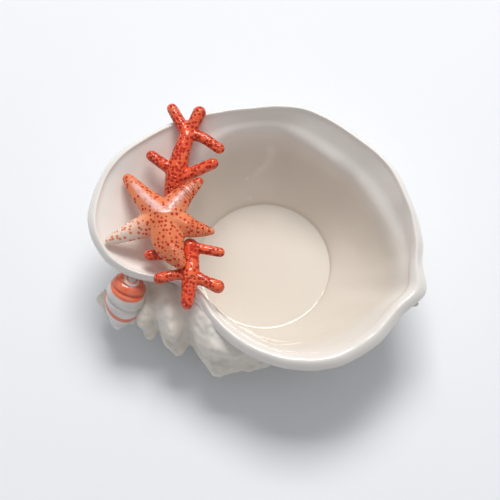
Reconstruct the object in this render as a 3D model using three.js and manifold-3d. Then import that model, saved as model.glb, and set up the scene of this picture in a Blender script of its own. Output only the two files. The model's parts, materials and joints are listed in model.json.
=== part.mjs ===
// A glazed ceramic serving bowl cast in the shape of a conch: a round-floored bowl whose lip
// flares out over the spire, with two coral sprigs, a starfish and a striped snail shell luted on
// where the lip meets the spire. Millimetres, +Z up. Everything is laid out around the middle of the
// bowl's round floor, at table height, and the finished group is shifted so that the origin is under
// the middle of the object's box.
import * as THREE from "three";
import { mergeVertices } from "three/addons/utils/BufferGeometryUtils.js";
import Module from "manifold-3d";

const wasm = await Module();
wasm.setup();

// ---------------------------------------------------------------- driving dimensions
const floorRadius = 50; // the round floor inside, out to the foot of the wall
const floorTop = 9; // its height over the table
const wall = 6.5; // thickness of the cast wall
const lipDrop = 4; // how far the lip's inner and outer edges lie under its crest
const wallBelly = 0.07; // how far the wall bows out, as a share of its slant height
const flareSag = 0.07; // how far the flare of the lip dishes, as a share of its width
const foot = { outer: 47, inner: 39, recess: 2.5 }; // the unglazed ring that the bowl stands on
const seat = 0.4; // clearance left between two pieces that touch
const upward = [[0, 0, 1]];
const everyWay = [...upward, [0, 0, -1], [1, 0, 0], [-1, 0, 0], [0, 1, 0], [0, -1, 0]];
const sliver = 0.05; // edges shorter than this, left by a cut, are closed up

// Stations round the lip, from the canal tip by way of the far side: the outer edge of the lip, the crease
// where the flare meets the deep wall, and the width of the rolled lip.
const lipStations = [
  { edge: [112, -41, 72], crease: [97, -36, 60], lip: 12 }, // canal tip
  { edge: [110, -20, 74], crease: [98, -22, 60], lip: 7 },
  { edge: [110, -3, 76], crease: [96, -6, 60], lip: 6 },
  { edge: [104, 25, 79], crease: [88, 13, 61], lip: 6 },
  { edge: [90, 53, 82], crease: [67, 45, 63], lip: 6 },
  { edge: [61, 79, 84], crease: [46, 62, 66], lip: 6 },
  { edge: [34, 95, 84], crease: [28, 75, 68], lip: 6 },
  { edge: [11, 99, 84], crease: [9, 84, 70], lip: 6 },
  { edge: [-14, 98, 84], crease: [-13, 83, 71], lip: 6 },
  { edge: [-36, 94, 84], crease: [-31, 76, 70], lip: 6 },
  { edge: [-61, 87, 84], crease: [-50, 60, 66], lip: 7 }, // wing begins
  { edge: [-82, 77, 83], crease: [-62, 47, 63], lip: 7 },
  { edge: [-104, 62, 82], crease: [-71, 34, 61], lip: 8 },
  { edge: [-117, 44, 80], crease: [-76, 22, 60], lip: 8 },
  { edge: [-125, 21, 79], crease: [-78, 10, 59], lip: 9 },
  { edge: [-125, 6, 78], crease: [-78, 1, 59], lip: 9 },
  { edge: [-119, -8, 76], crease: [-76, -7, 59], lip: 9 },
  { edge: [-109, -20, 74], crease: [-72, -14, 59], lip: 9 },
  { edge: [-95, -28, 72], crease: [-68, -19, 59], lip: 9 },
  { edge: [-81, -31, 70], crease: [-63, -22, 59], lip: 8 }, // wing ends
  { edge: [-67, -30, 69], crease: [-58, -24, 59], lip: 7 },
  { edge: [-55, -35, 68], crease: [-50, -29, 57], lip: 6 }, // notch over the spire
  { edge: [-45, -48, 68], crease: [-41, -38, 56], lip: 7 },
  { edge: [-35, -64, 68], crease: [-30, -50, 55], lip: 8 },
  { edge: [-17, -81, 69], crease: [-13, -64, 54], lip: 9 },
  { edge: [10, -93, 70], crease: [9, -72, 48], lip: 10 },
  { edge: [45, -94, 70], crease: [36, -68, 46], lip: 10 },
  { edge: [76, -78, 70], crease: [62, -57, 48], lip: 10 },
  { edge: [95, -57, 71], crease: [82, -45, 54], lip: 9 },
];

// The conch behind the bowl: an axis from the apex of the spire to the end of the canal.
const conch = {
  apex: [-123, -32, 28],
  canalEnd: [110, -43, 50],
  tipRadius: 4,
  taper: 0.5, // radius gained for each millimetre along the spire
  girth: 48, // radius of the body whorl
  girthAt: 90, // how far along the axis that is
  upper: 0.62, // the section is squashed above and below the axis
  lower: 0.56,
  growth: 1.5, // each turn of the spiral is this much larger
  sutureAt: 72.5, // distance of the last suture from the apex, on the near side
  sutureAngle: 110,
  sutureDepth: 0.19,
  sutureWidth: 0.2, // as a share of the distance between sutures
};
// Knobs: distance along the axis, degrees round from the top towards the near side, height, radius.
const knobs = [
  [10, 100, 3, 5], [20, 60, 2.5, 5], [24, 122, 3.5, 5], [35, 60, 3, 6.5], [41, 110, 5.5, 6],
  [42, 156, 4.5, 6.5], [43, 36, 3.5, 8], [55, 12, 3.5, 6], [56, 28, 5, 6.5], [60, 54, 6, 8.5],
  [55, 82, 5.5, 5.5], [63, 98, 7, 6.5], [61, 140, 6, 8], [60, 185, 5, 8], [87, 30, 3, 7],
  [94, 54, 5.5, 10], [94, 96, 8, 12], [92, 142, 7, 11], [90, 190, 6, 10], [105, 62, 2.5, 8],
  [111, 106, 5, 8], [116, 146, 4.5, 9], [124, 102, 5, 9], [134, 130, 3.5, 9], [145, 100, 2.5, 9],
];

// Limbs of the corals and the starfish, each a chain of [x, y, z, radius] from its root to its round tip.
const upperCoral = {
  stem: [[-66, 28, 69, 6.5], [-63, 43, 79.5, 8], [-60, 57.5, 84, 6.5], [-55.5, 71.5, 86, 5.4]],
  crown_left: [[-56, 73, 86.5, 4.7], [-66.5, 91.8, 88.5, 3.9]],
  crown_right: [[-53.5, 74.5, 87, 4.4], [-46.9, 87.7, 90, 5]],
  right: [[-51.5, 72.5, 86.5, 4.4], [-44, 69.4, 87, 4], [-32.4, 61.5, 86, 3.9]],
  lower_right: [[-59, 41.5, 81, 4.6], [-36.9, 50.3, 85, 4.1]],
  left: [[-62, 44, 80, 4.6], [-80.9, 56.9, 84, 3.9]],
};
const lowerCoral = {
  stem: [[-52.6, -9, 76, 5.6], [-51.9, -20, 75, 6], [-52.2, -30.5, 75, 6.6]],
  upper_right: [[-51.3, -9.6, 75.5, 4.2], [-42.8, -11.7, 77, 3.7], [-31.5, -14.2, 77.5, 3.5]],
  upper_left: [[-54, -14.5, 74.5, 3.9], [-81.2, -15.4, 75.5, 3.9]],
  left: [[-54, -28.6, 74.5, 4.2], [-65, -30.5, 75, 3.8], [-73.9, -32.6, 74.5, 4.2]],
  bottom: [[-52.4, -32, 75, 6], [-53.3, -42, 74, 5.3], [-54.3, -50.5, 73, 4.3]],
  right: [[-49.5, -31, 75, 5], [-41.5, -35, 75.5, 4], [-33, -39, 76, 4.9]],
};
const starfish = {
  middle: [-70, 9, 85.5, 12.5],
  flat: 0.66, // height of an arm's section as a share of its width
  arms: [
    [[-85.4, 25.1, 83, 8.1], [-97.7, 41.7, 78, 4.1]],
    [[-58.3, 24.2, 87, 7.7], [-46.8, 34.9, 88.5, 3.6]],
    [[-52.5, 2, 84.5, 7.7], [-37.6, -0.2, 82, 2.6]],
    [[-67.5, -8.5, 85.5, 11.6], [-64.3, -16.6, 85, 9.2], [-59.4, -23.6, 82.5, 4.8]],
    [[-87.9, 2.8, 81.5, 8.4], [-109.1, -5.1, 77.5, 3.6]],
  ],
};
// The little snail shell: the middle of its body, the way its apex points, and its half sizes.
const snail = {
  middle: [-100.9, -38.5, 42],
  apexWay: [0.25, 0.6, 0.76],
  halfLength: 26,
  radius: 14.5,
  growth: 1.8,
  sutureDepth: 0.1,
};

// ---------------------------------------------------------------- small tools
const vector = (p) => new THREE.Vector3(...p);
const degrees = THREE.MathUtils.degToRad;

// A solid from a closed geometry.
function solidOf(geometry) {
  const bare = new THREE.BufferGeometry();
  bare.setAttribute("position", geometry.getAttribute("position"));
  bare.setIndex(geometry.index);
  const merged = mergeVertices(bare, 1e-4);
  return new wasm.Manifold(
    new wasm.Mesh({
      numProp: 3,
      vertProperties: new Float32Array(merged.attributes.position.array),
      triVerts: new Uint32Array(merged.index.array),
    }),
  );
}

// A named mesh from a solid; crumbs left by a cut are dropped.
function meshOf(name, solid, material) {
  const pieces = solid
    .simplify(sliver)
    .decompose()
    .sort((a, b) => b.volume() - a.volume());
  const made = pieces[0].getMesh();
  const geometry = new THREE.BufferGeometry();
  geometry.setAttribute(
    "position",
    new THREE.BufferAttribute(made.vertProperties, 3),
  );
  geometry.setIndex(new THREE.BufferAttribute(made.triVerts, 1));
  geometry.computeVertexNormals();
  const mesh = new THREE.Mesh(geometry, material);
  mesh.name = name;
  return mesh;
}

// A globe of slices and stacks whose every vertex is placed by a rule from (around, along), both 0 to 1.
function shapedGlobe(slices, stacks, place) {
  const globe = new THREE.SphereGeometry(1, slices, stacks);
  const spots = globe.getAttribute("position");
  const columns = slices + 1;
  for (let i = 0; i < spots.count; i++) {
    const around = (i % columns) / slices;
    const along = Math.floor(i / columns) / stacks;
    const spot = place(around % 1, along);
    spots.setXYZ(i, spot.x, spot.y, spot.z);
  }
  return solidOf(globe);
}

// A Catmull-Rom point on a chain of plane points, for t from 0 to chain.length - 1.
function onChain(chain, t) {
  const last = chain.length - 1;
  const i = Math.min(Math.floor(t), last - 1);
  const f = t - i;
  const at = (k) => chain[Math.max(0, Math.min(last, k))];
  const [a, b, c, d] = [at(i - 1), at(i), at(i + 1), at(i + 2)];
  return b
    .clone()
    .multiplyScalar(2)
    .add(c.clone().sub(a).multiplyScalar(f))
    .add(
      a
        .clone()
        .multiplyScalar(2)
        .addScaledVector(b, -5)
        .addScaledVector(c, 4)
        .sub(d)
        .multiplyScalar(f * f),
    )
    .add(
      b
        .clone()
        .multiplyScalar(3)
        .addScaledVector(c, -3)
        .add(d)
        .sub(a)
        .multiplyScalar(f * f * f),
    )
    .multiplyScalar(0.5);
}

// What is left of a solid that keeps out of another, and a thin clearance away along each direction.
function clearOf(solid, other, ways) {
  let left = solid.subtract(other);
  for (const way of ways) left = left.subtract(other.translate(way.map((part) => part * seat)));
  return left;
}

// ---------------------------------------------------------------- the bowl
const edgeCurve = new THREE.CatmullRomCurve3(
  lipStations.map((s) => vector(s.edge)),
  true,
  "catmullrom",
  0.5,
);
const creaseCurve = new THREE.CatmullRomCurve3(
  lipStations.map((s) => vector(s.crease)),
  true,
  "catmullrom",
  0.5,
);
const lipWidthCurve = new THREE.CatmullRomCurve3(
  lipStations.map((s) => new THREE.Vector3(s.lip, 0, 0)),
  true,
  "catmullrom",
  0.5,
);

// The chain of points down one section of the bowl: over the floor, up the wall, over the lip and
// down outside.
function bowlSection(around) {
  const t = edgeCurve.getUtoTmapping(around);
  const edge = edgeCurve.getPoint(t);
  const crease = creaseCurve.getPoint(t);
  const lip = lipWidthCurve.getPoint(t).x;
  const bearing = Math.atan2(crease.y, crease.x);
  const ring = (radius, height) =>
    new THREE.Vector3(
      radius * Math.cos(bearing),
      radius * Math.sin(bearing),
      height,
    );

  const inward = crease.clone().sub(edge).setZ(0).normalize();
  const lipOuter = edge.clone().setZ(edge.z - lipDrop);
  const lipCrest = edge.clone().addScaledVector(inward, lip * 0.5);
  const lipInner = edge
    .clone()
    .addScaledVector(inward, lip)
    .setZ(edge.z - lipDrop * 0.9);
  const wallFoot = ring(floorRadius + 1.8, floorTop + 4.5);

  // Outward normals, in the upright plane of each stretch.
  const outwards = (low, high) => {
    const rise = high.clone().sub(low);
    const flat = new THREE.Vector3(rise.x, rise.y, 0);
    const run = flat.length();
    flat.normalize();
    return flat
      .multiplyScalar(rise.z)
      .setZ(-run)
      .divideScalar(Math.hypot(run, rise.z));
  };
  const overhang = ring(1, 0).dot(inward) > 0;
  const wallNormal = overhang
    ? ring(1, 0)
    : outwards(wallFoot, crease).add(ring(0.6, 0)).normalize();
  const flareNormal = outwards(crease, lipInner);

  const slant = wallFoot.distanceTo(crease);
  const flare = crease.distanceTo(lipInner);
  const onWall = (f) =>
    wallFoot
      .clone()
      .lerp(crease, f)
      .addScaledVector(wallNormal, slant * wallBelly * 4 * f * (1 - f));
  const onFlare = crease
    .clone()
    .lerp(lipInner, 0.5)
    .addScaledVector(flareNormal, flare * flareSag);
  const creaseNormal = wallNormal.clone().add(flareNormal).normalize();

  return [
    ring(0, floorTop),
    ring(floorRadius * 0.5, floorTop),
    ring(floorRadius - 3.5, floorTop),
    ring(floorRadius - 0.4, floorTop + 0.9),
    wallFoot,
    onWall(1 / 3),
    onWall(2 / 3),
    crease,
    onFlare,
    lipInner,
    lipCrest,
    lipOuter,
    lipOuter
      .clone()
      .lerp(lipInner, 0.45)
      .addScaledVector(flareNormal, wall * 0.8),
    onFlare.clone().addScaledVector(flareNormal, wall),
    crease.clone().addScaledVector(creaseNormal, wall),
    onWall(2 / 3).addScaledVector(wallNormal, wall),
    onWall(1 / 3).addScaledVector(wallNormal, wall),
    ring(floorRadius + 3.5, 5),
    ring(foot.outer, 0),
    ring(foot.inner, 0),
    ring(foot.inner - 2, foot.recess),
    ring(0, foot.recess),
  ];
}

const footEdge = 17; // index of the last section point that is on a curve; the foot below it is straight
// Places along the section where the faceted bowl has its rings.
const bowlRings = [
  0, 1, 2, 3, 4, 4.5, 5, 5.5, 6, 6.5, 7, 7.5, 8, 8.5, 9, 9.5, 10, 10.5, 11,
  11.5, 12, 12.5, 13, 13.5, 14, 14.5, 15, 16, 17, 18, 19, 20, 21,
];

function onSection(section, t) {
  if (t < footEdge) return onChain(section.slice(0, footEdge + 1), t);
  const i = Math.min(Math.floor(t), section.length - 2);
  return section[i].clone().lerp(section[i + 1], t - i);
}

function bowlSolid(slices) {
  const stacks = bowlRings.length - 1;
  const sections = [];
  for (let i = 0; i < slices; i++) sections.push(bowlSection(i / slices));
  return shapedGlobe(slices, stacks, (around, along) =>
    onSection(
      sections[Math.round(around * slices)],
      bowlRings[Math.round(along * stacks)],
    ),
  );
}

// All the room over the middle of the bowl's wall, closed by a lid far above it.
function hollowSolid(slices) {
  const crest = 10;
  const stacks = crest + 2;
  const lid = 160;
  const opposite = 21; // section points i and opposite - i face each other through the wall
  return shapedGlobe(slices, stacks, (around, along) => {
    const k = stacks - Math.round(along * stacks);
    const section = bowlSection(around);
    if (k < 4) return section[k].clone().setZ(section[k].z - floorTop / 3);
    if (k < crest) return section[k].clone().lerp(section[opposite - k], 0.45);
    if (k === crest) return section[crest].clone();
    return k === crest + 1
      ? section[crest].clone().setZ(lid)
      : new THREE.Vector3(0, 0, lid);
  });
}

// ---------------------------------------------------------------- the conch's spire and body whorl
const axisStart = vector(conch.apex);
const axisEnd = vector(conch.canalEnd);
const axisLength = axisStart.distanceTo(axisEnd);
const axisWay = axisEnd.clone().sub(axisStart).normalize();
const nearWay = new THREE.Vector3(0, 0, 1).cross(axisWay).negate().normalize();
const upWay = nearWay.clone().cross(axisWay).negate().normalize();

// How many whorls past the last suture a place is: 0 to 1 is the body whorl, and below 0 the spire.
function whorlAt(distance, angle) {
  return (
    Math.log(Math.max(distance, 0.5) / conch.sutureAt) /
      Math.log(conch.growth) -
    (angle - conch.sutureAngle) / 360
  );
}

function conchRadius(distance, angle) {
  const spire = conch.tipRadius + conch.taper * distance;
  const past = Math.max(0, distance - conch.girthAt);
  const body =
    conch.girth *
    (1 - Math.pow(past / (axisLength - conch.girthAt), 1.8));
  const plain = Math.min(spire, body);
  const whorl = whorlAt(distance, angle);
  const offSuture = Math.abs(whorl - Math.round(whorl));
  const inSuture = whorl > 0.5 ? 0 : Math.exp(-Math.pow(offSuture / conch.sutureWidth, 2));
  let knob = 0;
  for (const [at, turn, height, radius] of knobs) {
    const round = degrees(angle - turn - 360 * Math.round((angle - turn) / 360));
    const reach = Math.hypot(distance - at, round * plain * 0.85) / radius;
    knob += height * Math.exp(-Math.pow(reach, 2.4));
  }
  return plain * (1 - conch.sutureDepth * inSuture) + knob;
}

function onConch(around, along) {
  const angle = around * 360;
  const distance = axisLength * along;
  const cap =
    along < 0.03
      ? Math.sqrt(Math.max(0, 1 - Math.pow(1 - along / 0.03, 2)))
      : 1;
  const radius = conchRadius(distance, angle) * cap;
  const up = Math.cos(degrees(angle)) * radius;
  const near = Math.sin(degrees(angle)) * radius;
  return axisStart
    .clone()
    .addScaledVector(axisWay, distance)
    .addScaledVector(upWay, up * (up > 0 ? conch.upper : conch.lower))
    .addScaledVector(nearWay, near);
}

// ---------------------------------------------------------------- the pieces on the lip
// A round-ended limb along a chain of [x, y, z, radius]; its section can be flattened.
function limb(chain, sides = 8, flat = 1) {
  const middles = new THREE.CatmullRomCurve3(
    chain.map(([x, y, z]) => new THREE.Vector3(x, y, z)),
  );
  const capRings = 2;
  const bodyRings = 2 * (chain.length - 1);
  const stacks = 2 * capRings + bodyRings;
  return shapedGlobe(sides, stacks, (around, along) => {
    const ring = stacks * along;
    const t = THREE.MathUtils.clamp((ring - capRings) / bodyRings, 0, 1);
    const way = middles.getTangent(t);
    const i = Math.min(Math.floor(t * (chain.length - 1)), chain.length - 2);
    const f = t * (chain.length - 1) - i;
    const radius = THREE.MathUtils.lerp(chain[i][3], chain[i + 1][3], f);
    const past = t === 0 ? ring - capRings : Math.max(0, ring - capRings - bodyRings);
    const capAngle = ((past / capRings) * Math.PI) / 2;
    const side = way.clone().cross(new THREE.Vector3(0, 0, 1)).normalize();
    const up = side.clone().cross(way);
    const turn = 2 * Math.PI * around;
    return middles
      .getPoint(t)
      .addScaledVector(way, radius * Math.sin(capAngle))
      .addScaledVector(side, radius * Math.cos(capAngle) * Math.cos(turn))
      .addScaledVector(up, flat * radius * Math.cos(capAngle) * Math.sin(turn));
  });
}

function starfishSolid() {
  const arms = starfish.arms.map((arm) => limb([starfish.middle, ...arm], 9, starfish.flat));
  return wasm.Manifold.union(arms);
}

function snailSolid() {
  const out = vector(snail.apexWay).normalize();
  const side = out.clone().cross(new THREE.Vector3(0, 0, 1)).normalize();
  const up = side.clone().cross(out);
  return shapedGlobe(16, 13, (around, along) => {
    const fromApex = (1 - Math.cos(Math.PI * along)) / 2;
    const whorl = Math.log(fromApex + 0.02) / Math.log(snail.growth) - around;
    const groove = Math.pow(Math.abs(Math.cos(Math.PI * whorl)), 12);
    const blunt = Math.pow(Math.sin(Math.PI * Math.pow(fromApex, 0.8)), 0.72);
    const radius = snail.radius * blunt * (1 - snail.sutureDepth * groove);
    const turn = -2 * Math.PI * around;
    return vector(snail.middle)
      .addScaledVector(out, snail.halfLength * (1 - 2 * fromApex))
      .addScaledVector(side, radius * Math.cos(turn))
      .addScaledVector(up, radius * Math.sin(turn));
  });
}

// ---------------------------------------------------------------- the whole object
const glaze = {
  white: new THREE.MeshStandardMaterial({ color: 0xece6de, roughness: 0.12, metalness: 0 }),
  coral: new THREE.MeshStandardMaterial({ color: 0xe5482c, roughness: 0.12, metalness: 0 }),
  starfish: new THREE.MeshStandardMaterial({ color: 0xf08a62, roughness: 0.15, metalness: 0 }),
  snail: new THREE.MeshStandardMaterial({ color: 0xf0d9cc, roughness: 0.12, metalness: 0 }),
};
const group = new THREE.Group();

const shell = shapedGlobe(34, 36, onConch).subtract(hollowSolid(68)).add(bowlSolid(68));
group.add(meshOf("shell_bowl", shell, glaze.white));

// A sprig's limbs keep clear of the bowl, and each branch of the limbs before it.
function addSprig(name, limbs) {
  const placed = [];
  for (const [part, chain] of Object.entries(limbs)) {
    let solid = clearOf(limb(chain), shell, upward);
    for (const other of placed) solid = clearOf(solid, other, everyWay);
    group.add(meshOf(`${name}_${part}`, solid, glaze.coral));
    placed.push(solid);
  }
  return wasm.Manifold.union(placed);
}
const sprigs = addSprig("coral_upper", upperCoral).add(addSprig("coral_lower", lowerCoral));

const star = clearOf(clearOf(starfishSolid(), shell, upward), sprigs, upward);
group.add(meshOf("starfish", star, glaze.starfish));
// The snail shell is luted between the spire and the wing, so it keeps clear of both.
const small = clearOf(snailSolid(), shell, [...upward, [0, 0, -1], [0, -1, 0], [-1, 0, 0]]);
group.add(meshOf("snail_shell", small, glaze.snail));

// The origin is under the middle of the whole object's box.
const middle = new THREE.Box3().setFromObject(group).getCenter(new THREE.Vector3());
for (const mesh of group.children) mesh.geometry.translate(-middle.x, -middle.y, 0);
export default group;
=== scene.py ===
"""A glazed ceramic serving bowl in the form of a conch, with corals, a starfish and a striped snail shell.

Every operator makes one piece, or one group of like pieces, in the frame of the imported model, in metres.
"""

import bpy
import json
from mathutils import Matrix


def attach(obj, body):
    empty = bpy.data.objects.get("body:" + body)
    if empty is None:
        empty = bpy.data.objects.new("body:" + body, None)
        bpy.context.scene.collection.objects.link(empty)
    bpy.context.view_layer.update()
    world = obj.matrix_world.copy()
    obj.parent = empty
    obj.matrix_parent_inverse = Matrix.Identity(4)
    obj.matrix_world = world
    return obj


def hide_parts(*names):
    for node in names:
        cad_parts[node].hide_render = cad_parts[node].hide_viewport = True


bl_info = {
    "name": "Conch Serving Bowl",
    "version": (1, 0, 0),
    "blender": (4, 5, 0),
    "location": "View3D > Sidebar > Conch Bowl",
    "description": "Makes a conch-shaped ceramic bowl with coral, starfish and snail shell, and its studio",
    "category": "Add Mesh",
}

import json
import math

import bmesh
import bpy
from bpy.props import FloatProperty, FloatVectorProperty, IntProperty, PointerProperty
from mathutils import Vector, noise
from mathutils.kdtree import KDTree

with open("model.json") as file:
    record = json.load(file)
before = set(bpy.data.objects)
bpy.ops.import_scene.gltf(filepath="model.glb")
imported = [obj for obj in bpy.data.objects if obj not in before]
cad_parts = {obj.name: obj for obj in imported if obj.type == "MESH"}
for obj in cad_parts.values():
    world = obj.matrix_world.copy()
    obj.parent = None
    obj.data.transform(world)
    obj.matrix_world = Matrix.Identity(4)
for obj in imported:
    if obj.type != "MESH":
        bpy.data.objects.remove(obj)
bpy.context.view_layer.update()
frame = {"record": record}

MM = 0.001
FOOT_MIDDLE_RADIUS = 0.043  # from the middle of the round floor to the foot mount's point, along +X
foot_mount = next(m for m in frame["record"]["mounts"] if m["name"] == "foot_ring")
FLOOR_MIDDLE = Vector(foot_mount["pos_m"]) - Vector((FOOT_MIDDLE_RADIUS, 0, 0))

# ---------------------------------------------------------------- the form
# Every size and place from here to the curves is in mm, from the middle of the round floor at table height.
FLOOR_TOP = 9.0
FLOOR_EDGE_IN, FLOOR_EDGE_RISE = 3.5, 0.9  # where the floor starts to turn up, and its rise at the edge
WALL_FOOT_OUT, WALL_FOOT_UP = 1.8, 4.5  # the foot of the wall, past the floor's edge and over its top
WALL_BELLY = 0.07  # how far the deep wall bulges, of its height
FLARE_SAG = 0.07  # how far the flare sags, of its width
CREASE_SOFTNESS = 0.3  # how far the crease is drawn towards the middle of its two neighbours
LIP_DROP = 4.0  # from the crest of the lip down to its outer edge
FOOT_OUTER, FOOT_INNER, FOOT_RECESS = 47.0, 39.0, 2.5  # radii of the foot ring, and the recess inside it
MIDDLE_OF_WALL = 0.45  # where the room inside is cut, through the wall's thickness
LID = 160.0  # top of the room inside, clear of everything
UNEVENNESS = [(0.022, 1.1), (0.07, 0.35)]  # how often the hand-finished wall waves per mm, and how far
UNEVENNESS_SEED = 7  # with no seed of its own, the noise would differ in every run

# Outer edge of the lip, crease where the flare meets the deep wall, and width of the rolled lip.
LIP_STATIONS = [
    ((112, -41, 72), (97, -36, 60), 12),  # canal tip
    ((110, -20, 74), (98, -22, 60), 7),
    ((110, -3, 76), (96, -6, 60), 6),
    ((104, 25, 79), (88, 13, 61), 6),
    ((90, 53, 82), (67, 45, 63), 6),
    ((61, 79, 84), (46, 62, 66), 6),
    ((34, 95, 84), (28, 75, 68), 6),
    ((11, 99, 84), (9, 84, 70), 6),
    ((-14, 98, 84), (-13, 83, 71), 6),
    ((-36, 94, 84), (-31, 76, 70), 6),
    ((-61, 87, 84), (-50, 60, 66), 7),  # wing begins
    ((-82, 77, 83), (-62, 47, 63), 7),
    ((-104, 62, 82), (-71, 34, 61), 8),
    ((-117, 44, 80), (-76, 22, 60), 8),
    ((-125, 21, 79), (-78, 10, 59), 9),
    ((-125, 6, 78), (-78, 1, 59), 9),
    ((-119, -8, 76), (-76, -7, 59), 9),
    ((-109, -20, 74), (-72, -14, 59), 9),
    ((-95, -28, 72), (-68, -19, 59), 9),
    ((-81, -31, 70), (-63, -22, 59), 8),  # wing ends
    ((-67, -30, 69), (-58, -24, 59), 7),
    ((-55, -35, 68), (-50, -29, 57), 6),  # notch over the spire
    ((-45, -48, 68), (-41, -38, 56), 7),
    ((-35, -64, 68), (-30, -50, 55), 8),
    ((-17, -81, 69), (-13, -64, 54), 9),
    ((10, -93, 70), (9, -72, 48), 10),
    ((45, -94, 70), (36, -68, 46), 10),
    ((76, -78, 70), (62, -57, 48), 10),
    ((95, -57, 71), (82, -45, 54), 9),
]

# The conch: an axis from the apex of the spire to the end of the canal, and the radius along it.
APEX = Vector((-123, -32, 28))
CANAL_END = Vector((110, -43, 50))
TIP_RADIUS = 4.0
TAPER = 0.5  # how fast the spire widens
TIP_SHARE = 0.03  # share of the axis over which the tip is rounded off
GIRTH, GIRTH_AT = 48.0, 90.0  # the widest radius, and where the body whorl starts to narrow
CANAL_TAPER = 1.8  # how late the body whorl narrows towards the canal
UPPER_SQUASH, LOWER_SQUASH = 0.62, 0.56  # height over the axis and under it, of the width
GROWTH = 1.5  # how much each whorl is wider than the one before it
SUTURE_AT, SUTURE_ANGLE = 72.5, 110.0  # a place that the last suture passes
SUTURE_WIDTH = 0.2  # of a whorl
KNOB_BLUNTNESS = 2.4
CONCH_GRAIN = [(0.1, 1.5), (0.24, 0.8), (0.5, 0.35)]  # how often the outside is rough per mm, and how deep
CONCH_ROWS = 220
HOLLOW_COLUMNS = 120
KNOBS = [  # distance along the axis, degrees round from the top towards the near side, height, radius
    (10, 100, 3, 5), (20, 60, 2.5, 5), (24, 122, 3.5, 5), (35, 60, 3, 6.5), (41, 110, 5.5, 6),
    (42, 156, 4.5, 6.5), (43, 36, 3.5, 8), (55, 12, 3.5, 6), (56, 28, 5, 6.5), (60, 54, 6, 8.5),
    (55, 82, 5.5, 5.5), (63, 98, 7, 6.5), (61, 140, 6, 8), (60, 185, 5, 8), (87, 30, 3, 7),
    (94, 54, 5.5, 10), (94, 96, 8, 12), (92, 142, 7, 11), (90, 190, 6, 10), (105, 62, 2.5, 8),
    (111, 106, 5, 8), (116, 146, 4.5, 9), (124, 102, 5, 9), (134, 130, 3.5, 9), (145, 100, 2.5, 9),
]

# Limbs, each a chain of (x, y, z, radius) from its root to its round tip.
UPPER_CORAL = {
    "coral_upper_stem": [
        (-66, 28, 69, 6.5),
        (-63, 43, 79.5, 8),
        (-60, 57.5, 84, 6.5),
        (-55.5, 71.5, 86, 5.4),
    ],
    "coral_upper_crown_left": [(-56, 73, 86.5, 4.7), (-66.5, 91.8, 88.5, 3.9)],
    "coral_upper_crown_right": [(-53.5, 74.5, 87, 4.4), (-46.9, 87.7, 90, 5)],
    "coral_upper_right": [(-51.5, 72.5, 86.5, 4.4), (-44, 69.4, 87, 4), (-32.4, 61.5, 86, 3.9)],
    "coral_upper_lower_right": [(-59, 41.5, 81, 4.6), (-36.9, 50.3, 85, 4.1)],
    "coral_upper_left": [(-62, 44, 80, 4.6), (-80.9, 56.9, 84, 3.9)],
}
LOWER_CORAL = {
    "coral_lower_stem": [(-52.6, -9, 76, 5.6), (-51.9, -20, 75, 6), (-52.2, -30.5, 75, 6.6)],
    "coral_lower_upper_right": [
        (-51.3, -9.6, 75.5, 4.2),
        (-42.8, -11.7, 77, 3.7),
        (-31.5, -14.2, 77.5, 3.5),
    ],
    "coral_lower_upper_left": [(-54, -14.5, 74.5, 3.9), (-81.2, -15.4, 75.5, 3.9)],
    "coral_lower_left": [(-54, -28.6, 74.5, 4.2), (-65, -30.5, 75, 3.8), (-73.9, -32.6, 74.5, 4.2)],
    "coral_lower_bottom": [(-52.4, -32, 75, 6), (-53.3, -42, 74, 5.3), (-54.3, -50.5, 73, 4.3)],
    "coral_lower_right": [(-49.5, -31, 75, 5), (-41.5, -35, 75.5, 4), (-33, -39, 76, 4.9)],
}
STAR_MIDDLE = (-70, 9, 85.5, 12.5)
STAR_FLAT = 0.66  # thickness of an arm, of its width
STAR_RIDGE = 0.7  # how far an arm's top is drawn up to an edge
STAR_ARMS = {
    "far_left": [(-85.4, 25.1, 83, 8.1), (-97.7, 41.7, 78, 4.1)],
    "far_right": [(-58.3, 24.2, 87, 7.7), (-46.8, 34.9, 88.5, 3.6)],
    "right": [(-52.5, 2, 84.5, 7.7), (-37.6, -0.2, 82, 2.6)],
    "near": [(-67.5, -8.5, 85.5, 11.6), (-64.3, -16.6, 85, 9.2), (-59.4, -23.6, 82.5, 4.8)],
    "left": [(-87.9, 2.8, 81.5, 8.4), (-109.1, -5.1, 77.5, 3.6)],
}
SNAIL_MIDDLE = Vector((-100.9, -38.5, 42))
SNAIL_APEX_WAY = Vector((0.25, 0.6, 0.76)).normalized()
SNAIL_HALF_LENGTH, SNAIL_RADIUS = 26.0, 14.5
SNAIL_GROWTH, SNAIL_SUTURE = 1.8, 0.1  # growth of its whorls, and depth of their groove, of the radius
SNAIL_FIRST_WHORL = 0.02  # share of its length before the whorls start
SNAIL_GROOVE_SHARPNESS = 12
SNAIL_SKEW, SNAIL_FULLNESS = 0.8, 0.72  # powers that move its widest place and swell its ends
SNAIL_COLUMNS, SNAIL_ROWS = 128, 160
SWIRL_WAY = Vector((0.3, 0.42, 0.86))  # from the snail's middle to the middle of its painted swirl
SASH_WAY = Vector((0.374, 0.01, 0.928))  # square to the stripe that runs down its side
SNAIL_BANDS = [(SWIRL_WAY, 7, 10), (SWIRL_WAY, 14, 46), (SASH_WAY, 83, 99)]  # a way, two angles off it

# Marks on the starfish: how strongly each arm is ribbed and how bright the painted highlight along its
# crest is.
ARM_RIBS = {"far_right": 1.0, "right": 0.9, "near": 0.4, "left": 0.06, "far_left": 0.1}
ARM_PAINTED_HIGHLIGHTS = {"far_left": 1.0, "far_right": 0.9}
PALE_ARM = "left"
RIB_SPACING = 0.0021  # metres
PAINTED_HIGHLIGHT_LEAST, PAINTED_HIGHLIGHT_SPREAD = 0.0012, 0.0038  # metres: half width at an arm's tip, and what its root adds
ARM_STEPS = 40  # places along an arm's middle line that its marks are measured from

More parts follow.
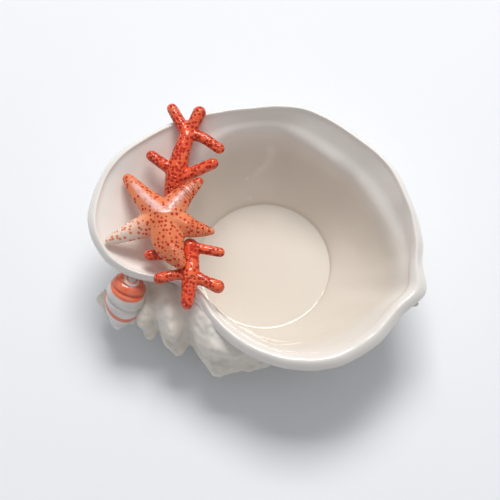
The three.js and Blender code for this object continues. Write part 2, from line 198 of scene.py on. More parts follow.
# The studio
CAMERA_ELEVATION = math.radians(70)
CAMERA_DISTANCE = 1.1  # metres
CAMERA_AIM = (-10.485, 12.513, 9.0)
CAMERA_SENSOR, CAMERA_LENS = 36, 105.336
CEILING_POWER = 2.5  # watts

GLAZE_IOR = 1.52


# ---------------------------------------------------------------- curves
def smooth_step(low, high, value):
    """0 up to low, 1 past high and smooth between."""
    share = min(1.0, max(0.0, (value - low) / (high - low)))
    return share * share * (3 - 2 * share)


def spline(points, t, closed=False):
    """A Catmull-Rom point; t counts the points passed."""
    count = len(points)
    i = int(math.floor(t)) if closed else min(int(t), count - 2)
    f = t - i
    if closed:
        a, b, c, d = (points[(i + k) % count] for k in (-1, 0, 1, 2))
    else:
        a, b, c, d = (points[min(max(i + k, 0), count - 1)] for k in (-1, 0, 1, 2))
    return 0.5 * (
        2 * b + (c - a) * f + (2 * a - 5 * b + 4 * c - d) * f**2 + (3 * b - 3 * c + d - a) * f**3
    )


def even_steps(points, count):
    """Places on a closed spline that are evenly spaced along it."""
    fine = 40 * len(points)
    spots = [spline(points, len(points) * k / fine, closed=True) for k in range(fine + 1)]
    run = [0.0]
    for a, b in zip(spots, spots[1:]):
        run.append(run[-1] + (b - a).length)
    steps, k = [], 0
    for i in range(count):
        goal = run[-1] * i / count
        while run[k + 1] < goal:
            k += 1
        f = (goal - run[k]) / (run[k + 1] - run[k])
        steps.append(len(points) * (k + f) / fine)
    return steps


# ---------------------------------------------------------------- mesh tools
def shaped_globe(bm, columns, rows, place):
    """A closed skin: a grid with its sides joined, whose end rows are poles, placed by (column, row)."""
    made = bmesh.ops.create_grid(bm, x_segments=columns, y_segments=rows, size=0.5)["verts"]
    for vert in made:
        column = round((vert.co.x + 0.5) * columns) % columns
        row = round((vert.co.y + 0.5) * rows)
        vert.co = place(column, row)
    bmesh.ops.remove_doubles(bm, verts=made, dist=1e-6)


def to_row_frame(mm_point):
    """A point in mm from the middle of the floor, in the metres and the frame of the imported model."""
    return FLOOR_MIDDLE + Vector(mm_point) * MM


def finish_mesh(bm, name):
    """A shown object from a closed bmesh, with its faces pointing outwards."""
    if bm.calc_volume(signed=True) < 0:
        bmesh.ops.reverse_faces(bm, faces=bm.faces[:])
    for face in bm.faces:
        face.smooth = True
    mesh = bpy.data.meshes.new(name)
    bm.to_mesh(mesh)
    bm.free()
    made = bpy.data.objects.new(name, mesh)
    bpy.context.scene.collection.objects.link(made)
    return made


def apply_modifiers(obj):
    """Turns an object's modifiers into its mesh."""
    graph = bpy.context.evaluated_depsgraph_get()
    mesh = bpy.data.meshes.new_from_object(obj.evaluated_get(graph), depsgraph=graph)
    obj.modifiers.clear()
    old = obj.data
    obj.data = mesh
    mesh.name = obj.name
    bpy.data.meshes.remove(old)


def cut_or_join(obj, other, operation):
    """Cuts another closed body out of obj, or joins it on, and uses the other up."""
    step = obj.modifiers.new(operation.title(), "BOOLEAN")
    step.operation = operation
    step.solver = "MANIFOLD"
    step.object = other
    apply_modifiers(obj)
    mesh = other.data
    bpy.data.objects.remove(other)
    bpy.data.meshes.remove(mesh)


def melt_together(obj, voxel, passes):
    """Melts the overlapping bodies of obj into one skin and smooths where they meet."""
    melt = obj.modifiers.new("Melt", "REMESH")
    melt.mode = "VOXEL"
    melt.voxel_size = voxel
    melt.use_smooth_shade = True
    soften = obj.modifiers.new("Soften", "SMOOTH")
    soften.factor = 0.5
    soften.iterations = passes
    apply_modifiers(obj)


def settle(obj, slot, *nodes):
    """The piece rides on the root body and stands for its CAD nodes. Its slot is not used."""
    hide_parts(*nodes)
    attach(obj, "root")


# ---------------------------------------------------------------- the bowl
def bowl_section(t, floor_radius, wall):
    """Points down one section of the bowl: over the floor, up the wall, over the lip and down outside."""
    edge = spline([Vector(s[0]) for s in LIP_STATIONS], t, closed=True)
    crease = spline([Vector(s[1]) for s in LIP_STATIONS], t, closed=True)
    lip = spline([Vector((s[2], 0, 0)) for s in LIP_STATIONS], t, closed=True).x
    bearing = math.atan2(crease.y, crease.x)

    def ring(radius, height):
        """The point at a radius and height, on this section's bearing."""
        return Vector((radius * math.cos(bearing), radius * math.sin(bearing), height))

    inward = crease - edge
    inward.z = 0
    inward.normalize()
    lip_outer = edge - Vector((0, 0, LIP_DROP))
    lip_crest = edge + inward * lip * 0.5
    lip_inner = edge + inward * lip - Vector((0, 0, LIP_DROP * 0.9))
    wall_foot = ring(floor_radius + WALL_FOOT_OUT, FLOOR_TOP + WALL_FOOT_UP)

    def outwards(low, high):
        """The way square to the line from low to high that faces out and down."""
        rise = high - low
        flat = Vector((rise.x, rise.y, 0))
        run = flat.length
        flat.normalize()
        return (flat * rise.z + Vector((0, 0, -run))) / math.hypot(run, rise.z)

    if ring(1, 0).dot(inward) > 0:
        wall_normal = ring(1, 0)
    else:
        wall_normal = (outwards(wall_foot, crease) + ring(0.6, 0)).normalized()
    flare_normal = outwards(crease, lip_inner)
    crease_normal = (wall_normal + flare_normal).normalized()
    slant = (wall_foot - crease).length
    flare = (crease - lip_inner).length

    def on_wall(f):
        return wall_foot.lerp(crease, f) + wall_normal * slant * WALL_BELLY * 4 * f * (1 - f)

    on_flare = crease.lerp(lip_inner, 0.5) + flare_normal * flare * FLARE_SAG
    turn = crease.lerp((on_wall(2 / 3) + on_flare) / 2, CREASE_SOFTNESS)
    return [
        ring(0, FLOOR_TOP),
        ring(floor_radius * 0.5, FLOOR_TOP),
        ring(floor_radius - FLOOR_EDGE_IN, FLOOR_TOP),
        ring(floor_radius - 0.4, FLOOR_TOP + FLOOR_EDGE_RISE),
        wall_foot,
        on_wall(1 / 3),
        on_wall(2 / 3),
        turn,
        on_flare,
        lip_inner,
        lip_crest,
        lip_outer,
        lip_outer.lerp(lip_inner, 0.45) + flare_normal * wall * 0.8,
        on_flare + flare_normal * wall,
        turn + crease_normal * wall,
        on_wall(2 / 3) + wall_normal * wall,
        on_wall(1 / 3) + wall_normal * wall,
        ring(floor_radius + 3.5, 5),
        ring(FOOT_OUTER, 0),
        ring(FOOT_INNER, 0),
        ring(FOOT_INNER - 2, FOOT_RECESS),
        ring(0, FOOT_RECESS),
    ]


FOOT_EDGE = 17  # the last section point that is on a curve; the foot below it is straight
CREST = 10  # the section point on the crest of the lip
OPPOSITE = 21  # section points i and OPPOSITE - i face each other through the wall


def on_section(section, t):
    """The point of a section at t, which counts the section points passed."""
    if t < FOOT_EDGE:
        return spline(section[: FOOT_EDGE + 1], t)
    i = min(int(t), len(section) - 2)
    return section[i].lerp(section[i + 1], t - i)


def section_rows():
    """Places along the section where the bowl has its rows, closest round the lip."""
    # From one section point to another, and how many rows lie between them.
    spans = [(0, 2, 4), (2, 4, 12), (4, 8, 26), (8, 12, 34), (12, 17, 24), (17, 21, 8)]
    rows = [0.0]
    for low, high, count in spans:
        rows += [low + (high - low) * k / count for k in range(1, count + 1)]
    return rows


def hand_made(point):
    """The slight unevenness of a cast and hand-finished wall, growing towards the lip."""
    share = smooth_step(12, 70, point.z)
    wave = Vector()
    for often, far in UNEVENNESS:
        wave += noise.noise_vector(point * often) * far
    return point + wave * share


def bowl_sections(columns, floor_radius, wall):
    """The bowl's sections, evenly spaced round its lip."""
    edges = [Vector(s[0]) for s in LIP_STATIONS]
    return [bowl_section(t, floor_radius, wall) for t in even_steps(edges, columns)]


def make_bowl_body(columns, floor_radius, wall):
    noise.seed_set(UNEVENNESS_SEED)
    sections = bowl_sections(columns, floor_radius, wall)
    rows = section_rows()

    def place(column, row):
        return to_row_frame(hand_made(on_section(sections[column], rows[row])))

    bm = bmesh.new()
    shaped_globe(bm, columns, len(rows) - 1, place)
    return finish_mesh(bm, "shell_bowl")


def make_hollow(columns, floor_radius, wall):
    """All the room over the middle of the bowl's wall, closed by a lid far above it."""
    sections = bowl_sections(columns, floor_radius, wall)
    floor_points = 4

    def place(column, k):
        section = sections[column]
        if k < floor_points:
            spot = section[k] - Vector((0, 0, FLOOR_TOP / 3))
        elif k < CREST:
            spot = section[k].lerp(section[OPPOSITE - k], MIDDLE_OF_WALL)
        elif k == CREST:
            spot = section[CREST].copy()
        elif k == CREST + 1:
            spot = Vector((section[CREST].x, section[CREST].y, LID))
        else:
            spot = Vector((0, 0, LID))
        return to_row_frame(spot)

    bm = bmesh.new()
    shaped_globe(bm, columns, CREST + 2, place)
    return finish_mesh(bm, "hollow")


# ---------------------------------------------------------------- the conch's spire and body whorl
AXIS = CANAL_END - APEX
AXIS_LENGTH = AXIS.length
AXIS_WAY = AXIS.normalized()
NEAR_WAY = AXIS_WAY.cross(Vector((0, 0, 1))).normalized()
UP_WAY = NEAR_WAY.cross(AXIS_WAY).normalized()


def whorl_at(distance, angle):
    """Whorls past the last suture: 0 to 1 is the body whorl, and below 0 the spire."""
    return math.log(max(distance, 0.5) / SUTURE_AT) / math.log(GROWTH) - (angle - SUTURE_ANGLE) / 360


def conch_radius(distance, angle, suture_depth, knob_height):
    """The conch's radius with its sutures and knobs, some way along its axis and degrees round it."""
    past = max(0.0, distance - GIRTH_AT)
    body = GIRTH * (1 - (past / (AXIS_LENGTH - GIRTH_AT)) ** CANAL_TAPER)
    plain = min(TIP_RADIUS + TAPER * distance, body)
    whorl = whorl_at(distance, angle)
    off_suture = abs(whorl - round(whorl))
    in_suture = 0.0 if whorl > 0.5 else math.exp(-((off_suture / SUTURE_WIDTH) ** 2))
    knob = 0.0
    for at, turn, height, radius in KNOBS:
        if abs(distance - at) > 3 * radius:
            continue
        round_off = math.radians(angle - turn - 360 * round((angle - turn) / 360))
        reach = math.hypot(distance - at, round_off * plain * 0.85) / radius
        knob += height * math.exp(-(reach**KNOB_BLUNTNESS))
    return plain * (1 - suture_depth * in_suture) + knob_height * knob


def make_conch_body(columns, rows, suture_depth, knob_height):
    def place(column, row):
        angle = 360 * column / columns
        along = row / rows
        distance = AXIS_LENGTH * along
        cap = math.sqrt(max(0.0, 1 - (1 - along / TIP_SHARE) ** 2)) if along < TIP_SHARE else 1.0
        radius = conch_radius(distance, angle, suture_depth, knob_height) * cap
        up = math.cos(math.radians(angle)) * radius
        near = math.sin(math.radians(angle)) * radius
        squash = UPPER_SQUASH if up > 0 else LOWER_SQUASH
        spot = APEX + AXIS_WAY * distance + UP_WAY * up * squash + NEAR_WAY * near
        out = (UP_WAY * up * squash + NEAR_WAY * near).normalized()
        rough = sum(deep * noise.noise(spot * often) for often, deep in CONCH_GRAIN)
        return to_row_frame(spot + out * rough * cap)

    bm = bmesh.new()
    shaped_globe(bm, columns, rows, place)
    return finish_mesh(bm, "conch")


def soften_seam(obj, rings, passes):
    """Softens the line where the conch (material 1) comes out of the bowl (material 0)."""
    bm = bmesh.new()
    bm.from_mesh(obj.data)
    bmesh.ops.triangulate(bm, faces=[f for f in bm.faces if len(f.verts) > 4])
    seam = {
        v
        for e in bm.edges
        if len(e.link_faces) == 2 and e.link_faces[0].material_index != e.link_faces[1].material_index
        for v in e.verts
    }
    bmesh.ops.remove_doubles(bm, verts=list(seam), dist=0.0003)
    seam = {v for v in seam if v.is_valid}
    for _ in range(rings):
        seam |= {e.other_vert(v) for v in list(seam) for e in v.link_edges}
    for _ in range(passes):
        bmesh.ops.smooth_vert(
            bm, verts=list(seam), factor=0.5, use_axis_x=True, use_axis_y=True, use_axis_z=True
        )
    for face in bm.faces:
        face.material_index = 0
        face.smooth = True
    bm.to_mesh(obj.data)
    bm.free()


# ---------------------------------------------------------------- limbs
def add_limb(bm, chain, sides=22, flat=1.0, ridge=0.0):
    """A round-ended limb along a chain of (x, y, z, radius); ridge draws its top up to a blunt edge."""
    middles = [Vector(p[:3]) for p in chain]
    cap_rows = 6
    body_rows = 10 * (len(chain) - 1)
    rows = 2 * cap_rows + body_rows
    last = len(chain) - 1

    def place(column, row):
        t = min(1.0, max(0.0, (row - cap_rows) / body_rows)) * last
        here = spline(middles, t)
        way = (spline(middles, min(last, t + 0.02)) - spline(middles, max(0, t - 0.02))).normalized()
        i = min(int(t), last - 1)
        radius = chain[i][3] + (chain[i + 1][3] - chain[i][3]) * (t - i)
        past = row - cap_rows if row < cap_rows else max(0, row - cap_rows - body_rows)
        cap = past / cap_rows * math.pi / 2
        side = way.cross(Vector((0, 0, 1))).normalized()
        up = side.cross(way)
        turn = 2 * math.pi * column / sides
        across, lift = math.cos(turn), math.sin(turn)
        if lift > 0 and ridge > 0:
            lift = (1 - ridge) * lift + ridge * 1.12 * (1 - abs(across) ** 1.4)
        spot = here + way * radius * math.sin(cap)
        spot += (side * across + up * lift * flat) * radius * math.cos(cap)
        return to_row_frame(spot)

    shaped_globe(bm, sides, rows, place)


def make_sprig(name, limbs, voxel, material):
    """One sprig from its limbs, melted into one body."""
    bm = bmesh.new()
    for chain in limbs.values():
        add_limb(bm, chain)
    sprig = finish_mesh(bm, name)
    melt_together(sprig, voxel, 9)
    sprig.data.materials.append(material)
    settle(sprig, "coral_glaze", *limbs)


# ---------------------------------------------------------------- materials
class Graph:
    """A short way to lay out a material's nodes."""

    def __init__(self, name):
        self.material = bpy.data.materials.new(name)
        self.material.use_nodes = True
        self.nodes = self.material.node_tree.nodes
        self.links = self.material.node_tree.links
        self.shader = self.nodes["Principled BSDF"]

    def node(self, kind, inputs=(), **settings):
        made = self.nodes.new(kind)
        for key, value in settings.items():
            setattr(made, key, value)
        for key, value in dict(inputs).items():
            self.feed(made.inputs[key], value)
        return made

    def feed(self, socket, value):
        if isinstance(value, bpy.types.NodeSocket):
            self.links.new(value, socket)
        else:
            socket.default_value = value

    def math(self, operation, a, b):
        made = self.node("ShaderNodeMath", {0: a, 1: b}, operation=operation)
        return made.outputs[0]

    def remap(self, value, low, high, to_low=0.0, to_high=1.0):
        made = self.node(
            "ShaderNodeMapRange",
            {"Value": value, "From Min": low, "From Max": high, "To Min": to_low, "To Max": to_high},
            interpolation_type="SMOOTHSTEP",
        )
        return made.outputs["Result"]

    def mix(self, share, a, b):
        made = self.node("ShaderNodeMix", data_type="RGBA")
        for key, value in ((0, share), (6, a), (7, b)):
            self.feed(made.inputs[key], value)
        return made.outputs[2]

    def bump(self, height, distance, strength=1.0, onto=None):
        inputs = {"Height": height, "Distance": distance, "Strength": strength}
        if onto is not None:
            inputs["Normal"] = onto
        return self.node("ShaderNodeBump", inputs).outputs["Normal"]

    def object_coordinates(self):
        return self.node("ShaderNodeTexCoord").outputs["Object"]

    def noise(self, place, scale, detail=3.0):
        made = self.node("ShaderNodeTexNoise", {"Vector": place, "Scale": scale, "Detail": detail})
        return made.outputs["Fac"]

    def spots(self, place, scale, size, edge=0.05):
        """1 in round spots scattered over the surface, about size of a cell across, and 0 between."""
        cells = self.node("ShaderNodeTexVoronoi", {"Vector": place, "Scale": scale, "Randomness": 0.65})
        return self.remap(cells.outputs["Distance"], size, size - edge)

    def attribute(self, name):
        return self.node("ShaderNodeAttribute", attribute_name=name).outputs["Fac"]


def colour(rgb, shade=1.0):
    """A socket's colour from red, green and blue, darkened by a shade under 1."""
    return (*(part * shade for part in rgb), 1.0)


def glossy(g, roughness):
    g.feed(g.shader.inputs["Roughness"], roughness)
    g.shader.inputs["IOR"].default_value = GLAZE_IOR


def white_glaze(settings):
    g = Graph("white_glaze")
    place = g.object_coordinates()
    cloud = g.noise(place, 9.0)
    # Random tone over the low glaze colour, which is painted shade: darker and warmer than the glaze
    # itself.
    cloudy_low_painted_shade = g.mix(g.remap(cloud, 0.3, 0.7), colour(settings.white), colour(settings.white, 0.965))
    height = g.node("ShaderNodeSeparateXYZ", {0: place}).outputs["Z"]
    # Painted shade and painted light by height alone: the glaze is darker and warmer low in the bowl and on
    # the conch, and whiter round the lip.
    body = g.mix(g.remap(height, 0.044, 0.07), cloudy_low_painted_shade, colour(settings.rim_white_painted_light))
    bare = g.remap(height, 0.0011, 0.0004)  # the foot's own millimetre is unglazed clay
    grain = g.noise(place, 2600.0)
    clay = g.mix(grain, (0.62, 0.56, 0.48, 1), (0.74, 0.68, 0.6, 1))
    g.feed(g.shader.inputs["Base Color"], g.mix(bare, body, clay))
    gloss = g.remap(g.noise(place, 60.0), 0.3, 0.7, 0.045, 0.085)
    glossy(g, g.math("ADD", gloss, g.math("MULTIPLY", bare, 0.6)))
    waves = g.bump(g.noise(place, 42.0, 2.0), 0.0009, 0.4)
    g.feed(g.shader.inputs["Normal"], g.bump(g.noise(place, 420.0), 0.00003, 0.2, waves))
    return g.material


def coral_glaze(settings):
    g = Graph("coral_glaze")
    place = g.object_coordinates()
    dots = g.spots(place, 1 / settings.dot_spacing, settings.dot_size)
    halo = g.spots(place, 1 / settings.dot_spacing, settings.dot_size + 0.12, 0.2)
    cloud = g.remap(g.noise(place, 70.0), 0.35, 0.68)
    patches = g.mix(cloud, colour(settings.coral), (0.93, 0.16, 0.055, 1))
    rimmed = g.mix(g.math("MULTIPLY", halo, 0.55), patches, colour(settings.coral, 0.62))
    g.feed(g.shader.inputs["Base Color"], g.mix(dots, rimmed, (0.56, 0.02, 0.007, 1)))
    glossy(g, 0.1)
    lumps = g.bump(g.noise(place, 230.0, 2.0), 0.0009, 0.5)
    g.feed(g.shader.inputs["Normal"], g.bump(g.math("SUBTRACT", 1.0, halo), 0.0006, 0.9, lumps))
    return g.material


def starfish_glaze(settings):
    g = Graph("starfish_glaze")
    place = g.object_coordinates()
    pale = g.attribute("pale")
    ridge = g.attribute("ridge")
    ribs = g.attribute("ribs")
    orange = colour(settings.starfish)
    warm = g.mix(g.remap(g.noise(place, 55.0), 0.35, 0.65), orange, (0.9, 0.3, 0.14, 1))
    body = g.mix(pale, warm, (0.9, 0.72, 0.6, 1))
    # Painted highlight: pale pink glaze colour along the crests of the two far arms stands in for a
    # reflection, and most dots are left out under it.
    body = g.mix(g.math("MULTIPLY", ridge, 0.85), body, (0.95, 0.6, 0.55, 1))
    dots = g.spots(place, 1 / (settings.dot_spacing * 1.1), settings.dot_size * 0.88)
    dot_colour = g.mix(pale, (0.62, 0.03, 0.01, 1), (0.86, 0.24, 0.12, 1))
    seen = g.math("MULTIPLY", dots, g.math("SUBTRACT", 1.0, g.math("MULTIPLY", ridge, 0.8)))
    between_ribs = g.math("MULTIPLY", g.remap(ribs, 0.55, 0.1), g.attribute("ribbed"))
    body = g.mix(between_ribs, body, (0.72, 0.1, 0.03, 1))
    g.feed(g.shader.inputs["Base Color"], g.mix(seen, body, dot_colour))
    glossy(g, 0.14)
    ribbed = g.bump(g.math("MULTIPLY", ribs, g.attribute("ribbed")), 0.0007, 0.8)
    pits = g.bump(g.math("SUBTRACT", 1.0, dots), 0.0004, 0.7, ribbed)
    g.feed(g.shader.inputs["Normal"], pits)
    return g.material


def snail_glaze(settings):
    g = Graph("snail_glaze")
    place = g.object_coordinates()
    stripe = g.attribute("stripe")
    wash = g.remap(g.noise(place, 160.0), 0.3, 0.75, 0.88, 1.0)
    cloud = g.remap(g.noise(place, 80.0), 0.35, 0.65)
    white = g.mix(cloud, (0.84, 0.8, 0.76, 1), (0.74, 0.7, 0.67, 1))
    painted = g.mix(g.noise(place, 240.0), colour(settings.stripe), (0.86, 0.18, 0.08, 1))
    g.feed(g.shader.inputs["Base Color"], g.mix(g.math("MULTIPLY", stripe, wash), white, painted))
    glossy(g, 0.1)
    g.feed(g.shader.inputs["Normal"], g.bump(g.noise(place, 90.0, 2.0), 0.0004, 0.3))
    return g.material


# ---------------------------------------------------------------- settings
def tone(label, about, default):
    return FloatVectorProperty(
        name=label, description=about, default=default, subtype="COLOR", size=3, min=0, max=1
    )


class ConchBowlSettings(bpy.types.PropertyGroup):
    floor_radius: FloatProperty(
        name="Floor radius",
        description="Radius of the round floor inside",
        default=0.05,
        subtype="DISTANCE",
        unit="LENGTH",
    )
    wall: FloatProperty(
        name="Wall",
        description="Thickness of the cast wall",
        default=0.0065,
        subtype="DISTANCE",
        unit="LENGTH",
    )
    bowl_columns: IntProperty(name="Bowl columns", description="Faces round the lip", default=320)
    conch_columns: IntProperty(name="Conch columns", description="Faces round the conch", default=240)
    suture_depth: FloatProperty(
        name="Suture depth", description="Depth of the groove between whorls, of their radius", default=0.19
    )
    knob_height: FloatProperty(name="Knobs", description="Height of the knobs, 1 as cast", default=1.0)
    melt_size: FloatProperty(
        name="Melt size",
        description="Grain at which limbs are melted into one body",
        default=0.0006,
        subtype="DISTANCE",
        unit="LENGTH",
    )
    dot_spacing: FloatProperty(
        name="Dot spacing",
        description="Distance between pits",
        default=0.0027,
        subtype="DISTANCE",
        unit="LENGTH",
    )
    dot_size: FloatProperty(name="Dot size", description="Radius of a pit, of their spacing", default=0.44)
    # Painted shade and painted light: the first colour is the glaze darkened and warmed low down, the
    # second is the glaze whitened round the lip.
    white: tone("White glaze", "Glaze of the bowl where it pools, low down", (0.8, 0.735, 0.65))
    rim_white_painted_light: tone("Rim glaze", "Glaze of the bowl round the lip", (0.9, 0.86, 0.815))
    coral: tone("Coral glaze", "Glaze of the corals", (0.9, 0.095, 0.03))
    starfish: tone("Starfish glaze", "Glaze of the starfish", (0.85, 0.23, 0.095))
    stripe: tone("Stripe", "Stripes of the snail shell", (0.86, 0.14, 0.05))
    table: tone("Table", "Colour of the table", (0.9, 0.925, 0.96))
    window_power: FloatProperty(
        name="Window",
        description="Power of the window light behind",
        default=73.0,
        subtype="POWER",
        unit="POWER",
    )
    sky: FloatProperty(name="Sky", description="Strength of the light from all round", default=0.33)


# ---------------------------------------------------------------- operators
class CONCH_OT_stage(bpy.types.Operator):
    """Make the table, the lights and the camera"""

    bl_idname = "conch_bowl.stage"
    bl_label = "Stage"

    def execute(self, context):
        settings = context.scene.conch_bowl
        scene = context.scene
        bm = bmesh.new()
        bmesh.ops.create_grid(bm, x_segments=1, y_segments=1, size=3.0)
        table = finish_mesh(bm, "table_top")
        g = Graph("table_paint")
        place = g.object_coordinates()
        shade = g.noise(place, 3.0)
        g.feed(
            g.shader.inputs["Base Color"],
            g.mix(shade, colour(settings.table), colour(settings.table, 0.98)),
        )
        g.shader.inputs["Roughness"].default_value = 0.75
        table.data.materials.append(g.material)

        world = bpy.data.worlds.new("studio")
        scene.world = world
        world.use_nodes = True
        sky = world.node_tree.nodes["Background"]
        sky.inputs["Color"].default_value = (0.94, 0.96, 1.0, 1)
        sky.inputs["Strength"].default_value = settings.sky

        def soft_light(name, spot, aim, size, power, tint):
            lamp = bpy.data.lights.new(name, "AREA")
            lamp.shape = "RECTANGLE"
            lamp.size, lamp.size_y = size
            lamp.energy = power
            lamp.color = tint
            holder = bpy.data.objects.new(name, lamp)
            holder.location = spot
            holder.rotation_euler = (Vector(aim) - Vector(spot)).to_track_quat("-Z", "Y").to_euler()
            scene.collection.objects.link(holder)

        soft_light(
            "window", (0.2, 1.75, 2.55), (0, 0, 0.05), (1.5, 1.2), settings.window_power, (1.0, 0.985, 0.96)
        )
        soft_light("ceiling", (0.1, 0.1, 1.9), (0, 0, 0), (1.6, 1.6), CEILING_POWER, (1, 1, 1))

        lens = bpy.data.cameras.new("camera")
        camera = bpy.data.objects.new("camera", lens)
        back = Vector((0, -math.cos(CAMERA_ELEVATION), math.sin(CAMERA_ELEVATION)))
        camera.location = to_row_frame(CAMERA_AIM) + back * CAMERA_DISTANCE
        camera.rotation_euler = (-back).to_track_quat("-Z", "Y").to_euler()
        lens.sensor_width, lens.lens = CAMERA_SENSOR, CAMERA_LENS
        lens.clip_start, lens.clip_end = 0.05, 20
        scene.collection.objects.link(camera)
        scene.camera = camera
        scene.view_settings.view_transform = "Standard"
        return {"FINISHED"}


class CONCH_OT_bowl(bpy.types.Operator):
    """Make the bowl and the conch that it grows out of, as one cast body"""

    bl_idname = "conch_bowl.bowl"
    bl_label = "Shell bowl"

    def execute(self, context):
        settings = context.scene.conch_bowl
        floor_radius, wall = settings.floor_radius / MM, settings.wall / MM
        bowl = make_bowl_body(settings.bowl_columns, floor_radius, wall)
        conch = make_conch_body(
            settings.conch_columns, CONCH_ROWS, settings.suture_depth, settings.knob_height
        )
        material = white_glaze(settings)
        bowl.data.materials.append(material)
        conch.data.materials.append(None)
        conch.data.materials.append(bpy.data.materials.new("conch_side"))
        for face in conch.data.polygons:
            face.material_index = 1
        cut_or_join(conch, make_hollow(HOLLOW_COLUMNS, floor_radius, wall), "DIFFERENCE")
        cut_or_join(bowl, conch, "UNION")
        soften_seam(bowl, 3, 10)
        bowl.data.materials.clear()
        bowl.data.materials.append(material)
        settle(bowl, "white_glaze", "shell_bowl")
        return {"FINISHED"}


class CONCH_OT_corals(bpy.types.Operator):
    """Make the two coral sprigs"""

    bl_idname = "conch_bowl.corals"
    bl_label = "Coral sprigs"

    def execute(self, context):
        settings = context.scene.conch_bowl
        material = coral_glaze(settings)
        make_sprig("coral_upper", UPPER_CORAL, settings.melt_size, material)
        make_sprig("coral_lower", LOWER_CORAL, settings.melt_size, material)
        return {"FINISHED"}


def arm_lines():
    """The middle line of each arm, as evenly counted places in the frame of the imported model."""
    lines = {}
    for name, arm in STAR_ARMS.items():
        chain = [Vector(p[:3]) for p in [STAR_MIDDLE, *arm]]
        spans = len(chain) - 1
        lines[name] = [to_row_frame(spline(chain, spans * k / ARM_STEPS)) for k in range(ARM_STEPS + 1)]
    return lines


def mark_arms(star):
    """Marks each vertex of the starfish with what its place on the nearest arm says."""
    lines = arm_lines()
    names = list(lines)
    places = ARM_STEPS + 1
    tree = KDTree(places * len(names))
    for i, name in enumerate(names):
        for k, spot in enumerate(lines[name]):
            tree.insert((spot.x, spot.y, 0), places * i + k)
    tree.balance()
    keys = ("pale", "ridge", "ribs", "ribbed")
    marks = {key: star.data.attributes.new(key, "FLOAT", "POINT") for key in keys}
    for vert in star.data.vertices:
        _, index, off = tree.find((vert.co.x, vert.co.y, 0))
        name, k = names[index // places], index % places
        line = lines[name]
        along = k / ARM_STEPS
        length = (line[-1] - line[0]).length
        i = vert.index
        marks["pale"].data[i].value = smooth_step(0.3, 0.75, along) if name == PALE_ARM else 0.0
        # Painted highlight: a band along the arm's middle line, widest at the root, marks where the crest
        # is painted pale.
        crest = 1 - smooth_step(PAINTED_HIGHLIGHT_LEAST, PAINTED_HIGHLIGHT_SPREAD * (1.15 - along) + PAINTED_HIGHLIGHT_LEAST, off)
        marks["ridge"].data[i].value = crest * ARM_PAINTED_HIGHLIGHTS.get(name, 0.0) * smooth_step(1.0, 0.6, along)
        marks["ribs"].data[i].value = 0.5 + 0.5 * math.cos(2 * math.pi * along * length / RIB_SPACING)
        marks["ribbed"].data[i].value = ARM_RIBS[name] * smooth_step(0.35, 0.6, along)


class CONCH_OT_starfish(bpy.types.Operator):
    """Make the starfish, with its pale arm, ridges, a painted highlight along the crests of two arms, and
    ribs
    """

    bl_idname = "conch_bowl.starfish"
    bl_label = "Starfish"

    def execute(self, context):
        settings = context.scene.conch_bowl
        bm = bmesh.new()
        for arm in STAR_ARMS.values():
            add_limb(bm, [STAR_MIDDLE, *arm], sides=32, flat=STAR_FLAT, ridge=STAR_RIDGE)
        star = finish_mesh(bm, "starfish")
        melt_together(star, settings.melt_size, 6)

        mark_arms(star)
        star.data.materials.append(starfish_glaze(settings))
        settle(star, "starfish_glaze", "starfish")
        return {"FINISHED"}


def in_band(out, way, low, high):
    """1 where out leans between two angles off a way, and 0 outside them."""
    angle = math.degrees(out.angle(way))
    return smooth_step(low - 1.5, low + 1.5, angle) * smooth_step(high + 2, high - 2, angle)


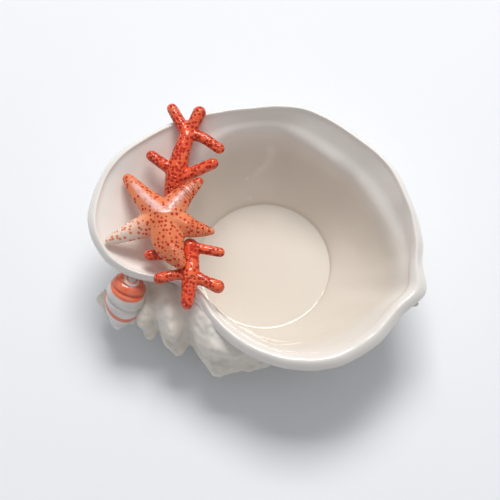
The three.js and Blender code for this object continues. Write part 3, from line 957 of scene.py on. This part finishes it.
class CONCH_OT_snail(bpy.types.Operator):
    """Make the small striped snail shell under the wing"""

    bl_idname = "conch_bowl.snail"
    bl_label = "Snail shell"

    def execute(self, context):
        settings = context.scene.conch_bowl
        side = SNAIL_APEX_WAY.cross(Vector((0, 0, 1))).normalized()
        up = side.cross(SNAIL_APEX_WAY)

        def place(column, row):
            share = (1 - math.cos(math.pi * row / SNAIL_ROWS)) / 2
            whorl = math.log(share + SNAIL_FIRST_WHORL) / math.log(SNAIL_GROWTH) - column / SNAIL_COLUMNS
            groove = abs(math.cos(math.pi * whorl)) ** SNAIL_GROOVE_SHARPNESS
            blunt = max(0.0, math.sin(math.pi * share**SNAIL_SKEW)) ** SNAIL_FULLNESS
            radius = SNAIL_RADIUS * blunt * (1 - SNAIL_SUTURE * groove)
            turn = -2 * math.pi * column / SNAIL_COLUMNS
            spot = SNAIL_MIDDLE + SNAIL_APEX_WAY * SNAIL_HALF_LENGTH * (1 - 2 * share)
            return to_row_frame(spot + (side * math.cos(turn) + up * math.sin(turn)) * radius)

        bm = bmesh.new()
        shaped_globe(bm, SNAIL_COLUMNS, SNAIL_ROWS, place)
        snail = finish_mesh(bm, "snail_shell")
        stripe = snail.data.attributes.new("stripe", "FLOAT", "POINT")
        middle = to_row_frame(SNAIL_MIDDLE)
        for vert in snail.data.vertices:
            stripe.data[vert.index].value = max(in_band(vert.co - middle, *band) for band in SNAIL_BANDS)
        snail.data.materials.append(snail_glaze(settings))
        settle(snail, "snail_glaze", "snail_shell")
        return {"FINISHED"}


class CONCH_PT_panel(bpy.types.Panel):
    """Lists the pieces of the bowl"""

    bl_idname = "CONCH_PT_panel"
    bl_label = "Conch Bowl"
    bl_space_type = "VIEW_3D"
    bl_region_type = "UI"
    bl_category = "Conch Bowl"

    def draw(self, context):
        layout = self.layout
        settings = context.scene.conch_bowl
        for key in settings.__annotations__:
            layout.prop(settings, key)
        for operator in OPERATORS:
            layout.operator(operator.bl_idname)


OPERATORS = [CONCH_OT_stage, CONCH_OT_bowl, CONCH_OT_corals, CONCH_OT_starfish, CONCH_OT_snail]
CLASSES = [ConchBowlSettings, *OPERATORS, CONCH_PT_panel]


def register():
    for made in CLASSES:
        bpy.utils.register_class(made)
    bpy.types.Scene.conch_bowl = PointerProperty(type=ConchBowlSettings)


def unregister():
    del bpy.types.Scene.conch_bowl
    for made in reversed(CLASSES):
        bpy.utils.unregister_class(made)


def main():
    register()
    bpy.ops.conch_bowl.stage()
    bpy.ops.conch_bowl.bowl()
    bpy.ops.conch_bowl.corals()
    bpy.ops.conch_bowl.starfish()
    bpy.ops.conch_bowl.snail()


if __name__ == "__main__":
    main()
